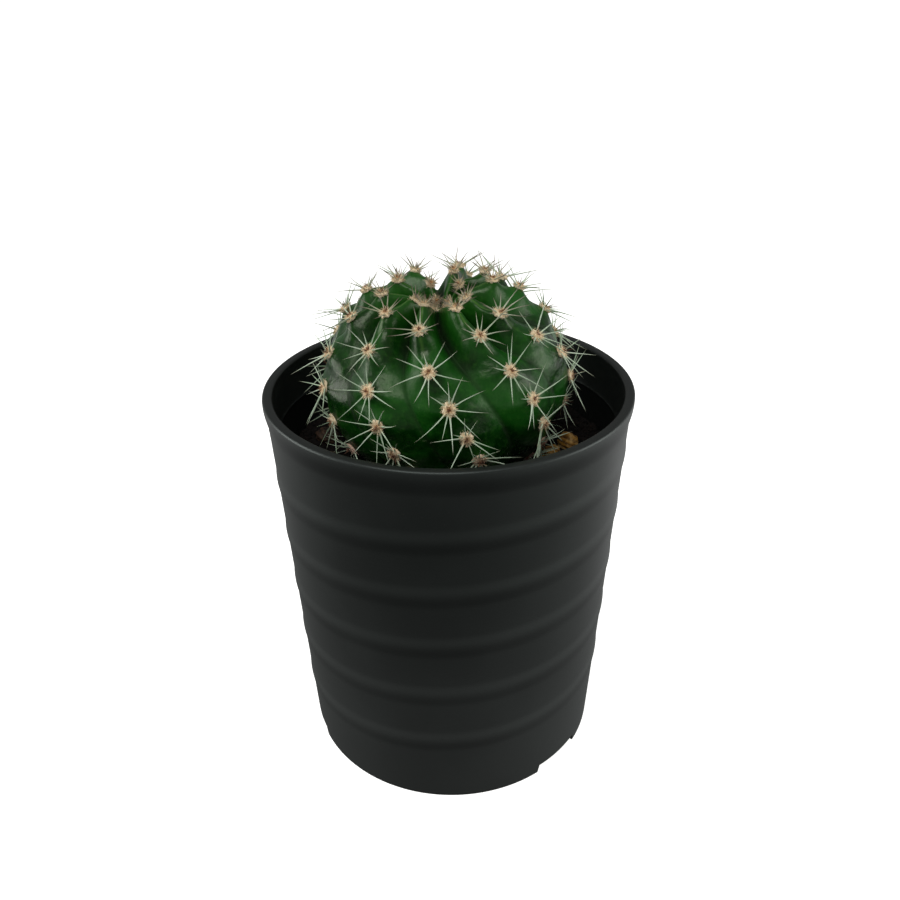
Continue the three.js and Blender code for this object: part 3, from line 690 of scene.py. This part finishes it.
def cushions(stars):
    """Areole cushions: domes that sink into the skin, a little longer along the rib than across, and
    dented by noise. The attribute heart is 0 in the middle and 1 at the rim."""
    radius = mix(AREOLE_RADIUS, stars["growth"])[:, None, None]
    tilt = np.radians(np.linspace(*CUSHION_TILT, 11))[:, None]
    azimuth = turns(22)
    across = np.sin(tilt) * np.sin(azimuth) * CUSHION_SHAPE[0]
    along = np.sin(tilt) * np.cos(azimuth) * CUSHION_SHAPE[1]
    high = np.cos(tilt) * np.ones_like(azimuth) * AREOLE_RISE
    local = np.stack([across, along, high], -1)
    offset = local * 2 + stars["place"][:, None, None] * 3
    swell = radius * (CUSHION_SIZE + lumps(offset, *CUSHION_DENTS))
    rings = stars["place"][:, None, None] + sum(
        stars[name][:, None, None] * (swell * part)[..., None]
        for name, part in (("side", across), ("down", along), ("out", high))
    )
    lift = radius[:, 0] * AREOLE_RISE
    poles = stars["place"][:, None] + stars["out"][:, None] * np.stack([lift * 0.9, lift * -0.6], 1)
    points, blocks = shells(rings, poles)
    count = len(stars["place"])
    heart = np.repeat(np.sin(np.minimum(tilt, math.pi / 2)).T, count, axis=0)
    heart = spread(heart, np.repeat([[0.0, 1.0]], count, axis=0), len(azimuth))
    age = np.repeat(stars["polar"] / 180, rings.shape[1] * rings.shape[2] + 2)
    tone = 0.5 + 0.5 * waves(points, 0.9, 63)
    piece("areole_cushions", points, blocks, felted_wool(), "areole_wool", heart=heart, age=age, tone=tone)


def needles(roots, tips, bends, widths, random, rows=6, sides=6, taper=0.75, bulb=0):
    """Pointed rods from root to tip. The middle line is a straight one plus t (1 - t) times the bend,
    and the width falls as (1 - t) to the power taper. A bulb swells the root by that share, as a bell
    curve of t, and draws the rows towards it. Gives points, faces, the way along each rod, 0 to 1, and
    a random tone for each."""
    count = len(roots)
    t = np.linspace(0, 1, rows + 1)[:-1] ** (1.3 if bulb else 1)
    line = roots[:, None] + (tips - roots)[:, None] * t[:, None] + bends[:, None] * (t * (1 - t))[:, None]
    heading = unit(tips - roots)
    first = unit(np.cross(heading, np.roll(heading, 1, axis=1) + [0.1, 0.2, 0.3]))
    second = np.cross(heading, first)
    azimuth = turns(sides)[:, None]
    ring = first[:, None] * np.cos(azimuth) + second[:, None] * np.sin(azimuth)
    width = widths[:, None] * (1 - t) ** taper * (1 + bulb * np.exp(-((t / BULB_REACH) ** 2)))
    rings = line[:, :, None] + ring[:, None] * width[..., None, None]
    points, blocks = shells(rings, np.stack([roots - heading * widths[:, None], tips], 1))
    along = spread(np.repeat(t[None], count, axis=0), np.repeat([[0.0, 1.0]], count, axis=0), sides)
    tone = np.repeat(random.uniform(0, 1, count), rows * sides + 2)
    return points, blocks, along, tone


def ground_under(points):
    """The height that a needle has to pass over at a place: the soil, or the chip there."""
    ground = np.full(points.shape[:-1], SOIL_TOP + SOIL_CLEAR)
    for low, high in CHIP_BOXES:
        middle = (low + high) / 2
        away = np.hypot(points[..., 0] - middle[0], points[..., 1] - middle[1])
        on_chip = away < (high - low)[:2].max() / 2 + CHIP_CLEAR
        ground = np.where(on_chip, np.maximum(ground, high[2] + CHIP_CLEAR), ground)
    return ground


def cleared(roots, tips):
    """Tips raised so that the needles pass over the soil and the chips."""
    shares = np.array([0.4, 0.6, 0.8, 1])[:, None]
    passed = roots[:, None] + (tips - roots)[:, None] * shares
    tips = tips.copy()
    tips[:, 2] = np.maximum(tips[:, 2], ground_under(passed).max(axis=1))
    return tips


def fan_out(stars, round_angle, rise):
    """Directions at each areole: round it from down the rib, and up from the skin, in radians."""
    flat = stars["side"][:, None] * np.sin(round_angle)[..., None]
    flat = flat + stars["down"][:, None] * np.cos(round_angle)[..., None]
    return flat * np.cos(rise)[..., None] + stars["out"][:, None] * np.sin(rise)[..., None]


def radial_spines(stars):
    """A star of spines at each areole: evenly round it with some sway, shorter where they point up
    the rib, and more upright and shorter near the crown. Each has 0.6 to 1.22 times the length that
    belongs to its areole's growth."""
    random = np.random.default_rng(71)
    count = len(stars["place"])
    growth = stars["growth"][:, None]
    step = 2 * math.pi / RADIALS
    angle = (np.arange(RADIALS) + 0.5) * step
    angle = angle + random.uniform(-RADIAL_SWAY, RADIAL_SWAY, (count, RADIALS)) * step
    sway = random.uniform(-RADIAL_RISE_SWAY, RADIAL_RISE_SWAY, (count, RADIALS))
    rise = np.radians(mix(RADIAL_RISE, growth)) + sway
    direction = fan_out(stars, angle, rise)
    length = mix(RADIAL_LENGTH, growth) * (1.22 - 0.62 * random.uniform(size=(count, RADIALS)) ** 1.3)
    length = length * (1 - RADIAL_SHORT_ABOVE * np.maximum(0, -np.cos(angle)))
    radius = mix(AREOLE_RADIUS, growth)[..., None]
    roots = stars["place"][:, None] + direction * radius * 0.35 - stars["out"][:, None] * 0.1
    tips = roots + direction * length[..., None]
    kept = random.uniform(size=(count, RADIALS)) < RADIAL_KEPT
    roots, tips, length = roots[kept], tips[kept], length[kept]
    bends = unit(random.normal(size=roots.shape)) * length[:, None] * random.uniform(0, 0.2, (len(roots), 1))
    width = np.broadcast_to(mix(RADIAL_WIDTH, growth), kept.shape)[kept]
    width = width * random.uniform(0.85, 1.15, len(width))
    age = np.broadcast_to(stars["polar"][:, None] / 180, kept.shape)[kept]
    tips = cleared(roots, tips)
    points, blocks, along, tone = needles(roots, tips, bends, width, random, rows=7, bulb=0.6)
    age = np.repeat(age, len(points) // len(roots))
    piece("radial_spines", points, blocks, pale_spine(), "spine", along=along, tone=tone, age=age)


def central_spines(stars):
    """One to three short, dark spines that stand up from the middle of each areole."""
    random = np.random.default_rng(73)
    count = len(stars["place"])
    growth = stars["growth"][:, None]
    angle = random.uniform(0, 2 * math.pi, (count, CENTRALS))
    rise = np.radians(random.uniform(*CENTRAL_RISE, (count, CENTRALS)))
    direction = fan_out(stars, angle, rise)
    length = mix(CENTRAL_LENGTH, growth) * random.uniform(0.6, 1.2, (count, CENTRALS))
    roots = np.repeat(stars["place"][:, None], CENTRALS, axis=1) + direction * 0.3
    tips = roots + direction * length[..., None]
    kept = random.uniform(size=(count, CENTRALS)) < CENTRAL_KEPT
    roots, tips, length = roots[kept], tips[kept], length[kept]
    bends = unit(random.normal(size=roots.shape)) * length[:, None] * 0.1
    width = np.broadcast_to(mix(CENTRAL_WIDTH, growth), kept.shape)[kept]
    points, blocks, along, tone = needles(roots, cleared(roots, tips), bends, width, random, rows=5)
    piece("central_spines", points, blocks, dark_spine(), "spine", along=along, tone=tone)


def wool_tufts(stars):
    """Curly hairs all over each cushion that lean outwards, longer at the crown, where wool is young."""
    random = np.random.default_rng(79)
    count = len(stars["place"])
    growth = stars["growth"][:, None]
    tilt = np.arccos(random.uniform(0.02, 1, (count, HAIRS)))
    azimuth = random.uniform(0, 2 * math.pi, (count, HAIRS))
    radius = mix(AREOLE_RADIUS, growth)
    parts = (np.sin(tilt) * np.sin(azimuth), np.sin(tilt) * np.cos(azimuth), np.cos(tilt))
    frames = [stars[name][:, None] for name in ("side", "down", "out")]
    outward = sum(axis * part[..., None] for axis, part in zip(frames, parts))
    squash = (*CUSHION_SHAPE, AREOLE_RISE)
    surface = sum(axis * (part * size)[..., None] for axis, part, size in zip(frames, parts, squash))
    roots = stars["place"][:, None] + surface * (radius * CUSHION_SIZE)[..., None]
    heading = unit(0.5 * outward + 0.7 * surface + 0.45 * random.normal(size=outward.shape))
    length = mix(HAIR_LENGTH, growth) * random.uniform(0.4, 1.25, (count, HAIRS))
    tips = roots + heading * length[..., None]
    bends = random.normal(size=roots.shape) * length[..., None] * 0.45
    width = random.uniform(*HAIR_WIDTH, count * HAIRS)
    flat = [part.reshape(-1, 3) for part in (roots, tips, bends)]
    points, blocks, _, tone = needles(*flat, width, random, rows=3, sides=3)
    each = len(points) // (count * HAIRS)
    heart = np.repeat(np.sin(tilt).ravel(), each)
    age = np.repeat(np.repeat(stars["polar"] / 180, HAIRS), each)
    piece("areole_hairs", points, blocks, felted_wool(), "areole_wool", heart=heart, age=age, tone=tone)


# Materials

FACTOR, FIRST, SECOND, MIXED = 0, 6, 7, 2 # sockets of a colour mix


def colour(code):
    """An sRGB hex colour as linear red, green, blue and alpha."""
    parts = [int(code[i:i + 2], 16) / 255 for i in (1, 3, 5)]
    return [c / 12.92 if c <= 0.04045 else ((c + 0.055) / 1.055) ** 2.4 for c in parts] + [1]


def fill(tree, node, inputs):
    """Fills a node's inputs. Each is a value, a hex colour, or the output to link from."""
    for socket, value in inputs.items():
        if isinstance(value, bpy.types.NodeSocket):
            tree.links.new(value, node.inputs[socket])
        else:
            node.inputs[socket].default_value = colour(value) if isinstance(value, str) else value


def add(tree, kind, inputs, give=0, **settings):
    """Adds a node with its settings and inputs, and gives one of its outputs."""
    made = tree.nodes.new("ShaderNode" + kind)
    for name, value in settings.items():
        setattr(made, name, value)
    fill(tree, made, inputs)
    return made.outputs[give]


def blank(name, *carried):
    """A new material: its nodes, its shader, the place on the object in millimetres, and the values
    that the mesh carries at each point under the given names."""
    material = bpy.data.materials.new(name)
    material.use_nodes = True
    tree = material.node_tree
    where = add(tree, "TexCoord", {}, give="Object")
    place = add(tree, "VectorMath", {0: where, 3: 1000}, operation="SCALE")
    found = [add(tree, "Attribute", {}, give="Fac", attribute_name=label) for label in carried]
    return material, tree, tree.nodes["Principled BSDF"], place, *found


def product(tree, *factors):
    """The product of some factors. Each is a number, a pattern, or a smooth step of a pattern: the
    pattern, the two values that it passes between, and what they become, if not 0 and 1."""
    result = None
    for factor in factors:
        if isinstance(factor, tuple):
            steps = dict(enumerate(factor))
            factor = add(tree, "MapRange", steps, interpolation_type="SMOOTHSTEP")
        if result is not None:
            factor = add(tree, "Math", {0: result, 1: factor}, operation="MULTIPLY")
        result = factor
    return result


def laid(tree, base, tint, *factors):
    """A colour with a tint laid over it, as strongly as the product of the factors says."""
    inputs = {FACTOR: product(tree, *factors), FIRST: base, SECOND: tint}
    return add(tree, "Mix", inputs, give=MIXED, data_type="RGBA")


def grained(tree, place, size, depth, detail=2, under=None):
    """A normal bent by noise whose lumps are about size mm across and depth mm high, and by the
    normal under it."""
    lump = add(tree, "TexNoise", {"Vector": place, "Scale": 1 / size, "Detail": detail})
    inputs = {"Height": lump, "Distance": depth * MM}
    if under:
        inputs["Normal"] = under
    return add(tree, "Bump", inputs)


def pot_plastic():
    """Black polypropylene from a blasted mould: near black, with a fine grain that spreads its gloss
    into a satin sheen, and a faint film of dust in patches. Painted light makes it lighter towards
    the foot, most where a face turns up, as the bead's upper side does: it stands for the light that
    the table throws up and the light from above. The grain is drawn 0.4 mm wide, coarser than the
    real one, so that it shows."""
    material, tree, shader, place = blank("black_polypropylene")
    patches = add(tree, "TexNoise", {"Vector": place, "Scale": 1 / 26, "Detail": 3})
    base = laid(tree, "#0a0c0b", "#0e100f", (patches, 0.42, 0.68))
    height = add(tree, "SeparateXYZ", {0: place}, give="Z")
    normal = add(tree, "NewGeometry", {}, give="Normal")
    slope = add(tree, "SeparateXYZ", {0: normal}, give="Z")
    # painted light: lighter towards the foot, and most on faces that turn up, such as the bead's upper side
    base = laid(tree, base, "#3a3c3b", (slope, -0.8, 0.5), (height, POT_HEIGHT - RIM_BAND, 0))
    specks = add(tree, "TexNoise", {"Vector": place, "Scale": 1 / 0.9, "Detail": 2})
    fill(tree, shader, {
        "Base Color": laid(tree, base, "#1c1c1b", (specks, 0.7, 0.78)),
        "Roughness": product(tree, (patches, 0.3, 0.7, 0.42, 0.5)),
        "Normal": grained(tree, place, 0.4, 0.012),
        "IOR": 1.49,
        "Specular IOR Level": 0.62,
        "Specular Tint": "#f1fff8",
    })
    return material


def potting_soil():
    """Damp peat with bark dust: dark, crumbly and without any gloss. tone tells a dark crumb from a
    light one."""
    material, tree, shader, place, tone = blank("potting_soil", "tone")
    base = laid(tree, "#040302", "#100a07", (tone, -1, 1.4))
    fine = add(tree, "TexNoise", {"Vector": place, "Scale": 1 / 0.8, "Detail": 4})
    fill(tree, shader, {
        "Base Color": laid(tree, base, "#19110c", (fine, 0.45, 0.75)),
        "Normal": add(tree, "Bump", {"Height": fine, "Distance": 0.35 * MM}),
        "Roughness": 0.95,
        "Specular IOR Level": 0.2,
    })
    return material


def pine_bark(dark, light, split):
    """Pine bark chips: dark and light layers about a millimetre thick, paler where they have split,
    and dry."""
    material, tree, shader, place, tone = blank("pine_bark", "tone")
    base = laid(tree, dark, light, (tone, -1, 1))
    mottle = add(tree, "TexNoise", {"Vector": place, "Scale": 1 / 2.2, "Detail": 4, "Roughness": 0.6})
    fill(tree, shader, {
        "Base Color": laid(tree, base, split, (mottle, 0.45, 0.7)),
        "Normal": grained(tree, place, 0.5, 0.2, detail=4),
        "Roughness": 0.7,
        "Specular IOR Level": 0.35,
    })
    return material


def waxy_skin():
    """Cactus skin under a thin wax: deep green, with a fresher green near the crown and small corky
    scuffs on the lower flanks. Painted shade makes it nearly black in the furrows, and a painted
    highlight lays a paler line along the young crests. The wax gives wide, milky highlights, which
    dents of 3 mm and ripples of 1 mm break into patches. The pores, too fine to show at their real
    size, are drawn 0.3 mm apart and soften them. The furrows are matt."""
    material, tree, shader, place, down, furrow, crest = blank("waxy_skin", "down", "furrow", "crest")
    cloud = add(tree, "TexNoise", {"Vector": place, "Scale": 1 / 11, "Detail": 3})
    mottle = add(tree, "TexNoise", {"Vector": place, "Scale": 1 / 1.6, "Detail": 4, "Roughness": 0.6})
    scuffs = add(tree, "TexNoise", {"Vector": place, "Scale": 1 / 0.8, "Detail": 5, "Roughness": 0.7})
    patches = add(tree, "TexNoise", {"Vector": place, "Scale": 1 / 8, "Detail": 1})
    base = laid(tree, "#032a04", "#12500f", (cloud, 0.35, 0.65))
    base = laid(tree, base, "#1d5210", (down, 0.04, 0.3, 0.7, 0))
    base = laid(tree, base, "#30681f", (mottle, 0.45, 0.75, 0, 0.35))
    # painted shade: nearly black in the furrows and the wide cleft
    base = laid(tree, base, "#020e02", furrow, 0.65)
    # painted highlight: a paler line along the young crests near the crown
    base = laid(tree, base, "#5c8239", crest, 0.5)
    base = laid(tree, base, "#8d9a78", (scuffs, 0.6, 0.7), (patches, 0.52, 0.66), (down, 0.45, 0.58))
    gloss = product(tree, (cloud, 0.3, 0.7, 0.27, 0.37))
    matt = product(tree, (furrow, 0, 0.8, 0, 0.45))
    normal = grained(tree, place, 3.2, 0.3, detail=3)
    normal = grained(tree, place, 1.1, 0.05, under=normal)
    fill(tree, shader, {
        "Base Color": base,
        "Roughness": add(tree, "Math", {0: gloss, 1: matt}, operation="ADD"),
        "Normal": grained(tree, place, 0.3, 0.012, under=normal),
        "IOR": 1.45,
        "Specular IOR Level": 0.38,
        "Specular Tint": "#fcffe9",
    })
    return material


def felted_wool():
    """Felted plant wool: matt and warm. It is rust brown where the spines come out, tan round that and
    cream at the rim, pinkish on the oldest areoles, and lighter or darker from strand to strand."""
    material, tree, shader, place, heart, age, tone = blank("felted_wool", "heart", "age", "tone")
    fluff = add(tree, "TexNoise", {"Vector": place, "Scale": 1 / 0.5, "Detail": 3})
    reach = add(tree, "Math", {0: heart, 1: fluff}, operation="ADD")
    rim = laid(tree, "#fae8c4", "#d9b1a4", (age, 0.5, 0.7))
    tan = laid(tree, "#c79b66", "#9c6252", (age, 0.5, 0.7))
    rust = laid(tree, "#c58f5c", "#5c2c1a", (age, 0.08, 0.25))
    base = laid(tree, tan, rim, (reach, 0.68, 1.25))
    base = laid(tree, base, tan, (tone, 0.35, 1, 0, 0.5))
    fill(tree, shader, {
        "Base Color": laid(tree, rust, base, (reach, 0.5, 0.95)),
        "Normal": add(tree, "Bump", {"Height": fluff, "Distance": 0.2 * MM}),
        "Roughness": 0.9,
        "Specular IOR Level": 0.2,
        "Sheen Weight": 0.3,
    })
    return material


def pale_spine():
    """Full-grown radial spines: horn of a greenish cream, tan at the root and darker towards the tip.
    Those near the crown are greyer and browner."""
    material, tree, shader, place, along, age, tone = blank("pale_spine", "along", "age", "tone")
    base = laid(tree, "#a3bb9b", "#cfdfc6", tone)
    base = laid(tree, base, "#b39f7c", (age, 0.12, 0.3, 0.7, 0))
    base = laid(tree, base, "#8a7558", (along, 0.6, 1, 0, 0.55))
    base = laid(tree, base, "#6f6055", (age, 0.15, 0.35, 1, 0), (along, 0.2, 0.8))
    fill(tree, shader, {
        "Base Color": laid(tree, base, "#dbbf95", (along, 0.03, 0.22, 0.9, 0)),
        "Normal": grained(tree, place, 0.25, 0.02),
        "Roughness": 0.42,
        "IOR": 1.5,
    })
    return material


def dark_spine():
    """Central spines: dark brown horn with a redder root."""
    material, tree, shader, place, along, tone = blank("dark_spine", "along", "tone")
    base = laid(tree, "#3a1d10", "#6d452a", along)
    fill(tree, shader, {
        "Base Color": laid(tree, base, "#8c6238", (tone, 0.4, 1, 0, 0.6)),
        "Normal": grained(tree, place, 0.25, 0.02),
        "Roughness": 0.45,
    })
    return material


def light_panel():
    """The studio's white floor, which looks evenly lit: matt acrylic with a very faint tooth."""
    material, tree, shader, place = blank("light_panel")
    fine = add(tree, "TexNoise", {"Vector": place, "Scale": 1 / 1.5, "Detail": 3})
    tooth = laid(tree, "#ededeb", "#f0f0ee", fine)
    fill(tree, shader, {
        "Base Color": tooth,
        "Emission Color": tooth,
        "Emission Strength": FLOOR_GLOW,
        "Roughness": 0.9,
        "Specular IOR Level": 0.1,
    })
    return material


# Stage

def floor():
    """A wide white floor under the pot. Only the viewer sees it: the light that comes from below is
    part of the studio's."""
    corners = np.array([[-1, -1, 0], [1, -1, 0], [1, 1, 0], [-1, 1, 0]]) * FLOOR_HALF
    mesh = bpy.data.meshes.new("floor")
    mesh.from_pydata((corners * MM).tolist(), [], [[0, 1, 2, 3]])
    mesh.materials.append(light_panel())
    made = bpy.data.objects.new("floor", mesh)
    made.visible_glossy = made.visible_diffuse = made.visible_transmission = False
    bpy.context.scene.collection.objects.link(made)


def softbox(name, place, width, height, power):
    """A rectangular light that faces the plant and isn't seen itself."""
    data = bpy.data.lights.new(name, "AREA")
    data.shape = "RECTANGLE"
    data.size = width * MM
    data.size_y = height * MM
    data.energy = power
    made = bpy.data.objects.new(name, data)
    made.location = Vector(place) * MM
    aim = Vector(GLOBE * MM) - made.location
    made.rotation_euler = aim.to_track_quat("-Z", "Y").to_euler()
    made.visible_camera = False
    bpy.context.scene.collection.objects.link(made)


def studio():
    """Light from all round. Below the horizon it is a table: darker near the pot and at its far edge,
    and lighter behind the pot and at the right. Above, it is a room that is brightest at eye level,
    at the back and overhead. The viewer sees it evenly white."""
    world = bpy.data.worlds.new("studio")
    world.use_nodes = True
    bpy.context.scene.world = world
    tree = world.node_tree
    direction = add(tree, "TexCoord", {}, give="Generated")
    across, depth, level = add(tree, "SeparateXYZ", {0: direction}).node.outputs
    back = product(tree, (level, -0.4, -0.12, TABLE_BACK, TABLE_FAR))
    table = product(
        tree,
        (depth, -0.3, 0.7, TABLE_FRONT, back),
        (level, -0.75, -0.15, TABLE_NEAR, 1),
        (across, 0.1, 0.7, 1, TABLE_RIGHT),
    )
    room = product(tree, (level, 0, 0.6, ROOM_HORIZON, ROOM_HIGH))
    for step in ((depth, -0.45, 0.35, 0, ROOM_BACK), (level, 0.25, 0.85, 0, ROOM_TOP)):
        room = add(tree, "Math", {0: room, 1: product(tree, step)}, operation="MAXIMUM")
    around_pot = laid(tree, table, room, (level, -0.26, 0.04))
    seen = add(tree, "LightPath", {}, give="Is Camera Ray")
    fill(tree, tree.nodes["Background"], {"Color": laid(tree, around_pot, "#ffffff", seen)})


def camera():
    """The photograph's view: its distance, height, tilt and roll."""
    data = bpy.data.cameras.new("camera")
    data.sensor_width = SENSOR
    data.lens = SENSOR * FOCAL_PIXELS / FRAME_PIXELS
    data.shift_x = (FRAME_PIXELS / 2 - CENTRE_PIXEL_X) / FRAME_PIXELS
    data.clip_start = 0.01
    data.clip_end = 100
    made = bpy.data.objects.new("camera", data)
    made.location = Vector((0, -CAMERA_DISTANCE, CAMERA_HEIGHT)) * MM
    tilt = Matrix.Rotation(math.radians(90 - CAMERA_DOWN), 3, "X")
    roll = Matrix.Rotation(math.radians(-CAMERA_ROLL), 3, "Z")
    made.rotation_euler = (tilt @ roll).to_euler()
    bpy.context.scene.collection.objects.link(made)
    bpy.context.scene.camera = made


camera()
studio()
for box in SOFTBOXES:
    softbox(*box)
floor()
bpy.context.scene.view_settings.view_transform = "Standard"

pot_shell()
soil_bed()
soil_crumbs()
soil_fibres()
for number, chip in enumerate(CHIP_NAMES, 1):
    bark(chip, number, AMBER_BARK if number < 3 else BROWN_BARK)
skin()
stars = areoles()
cushions(stars)
wool_tufts(stars)
radial_spines(stars)
central_spines(stars)
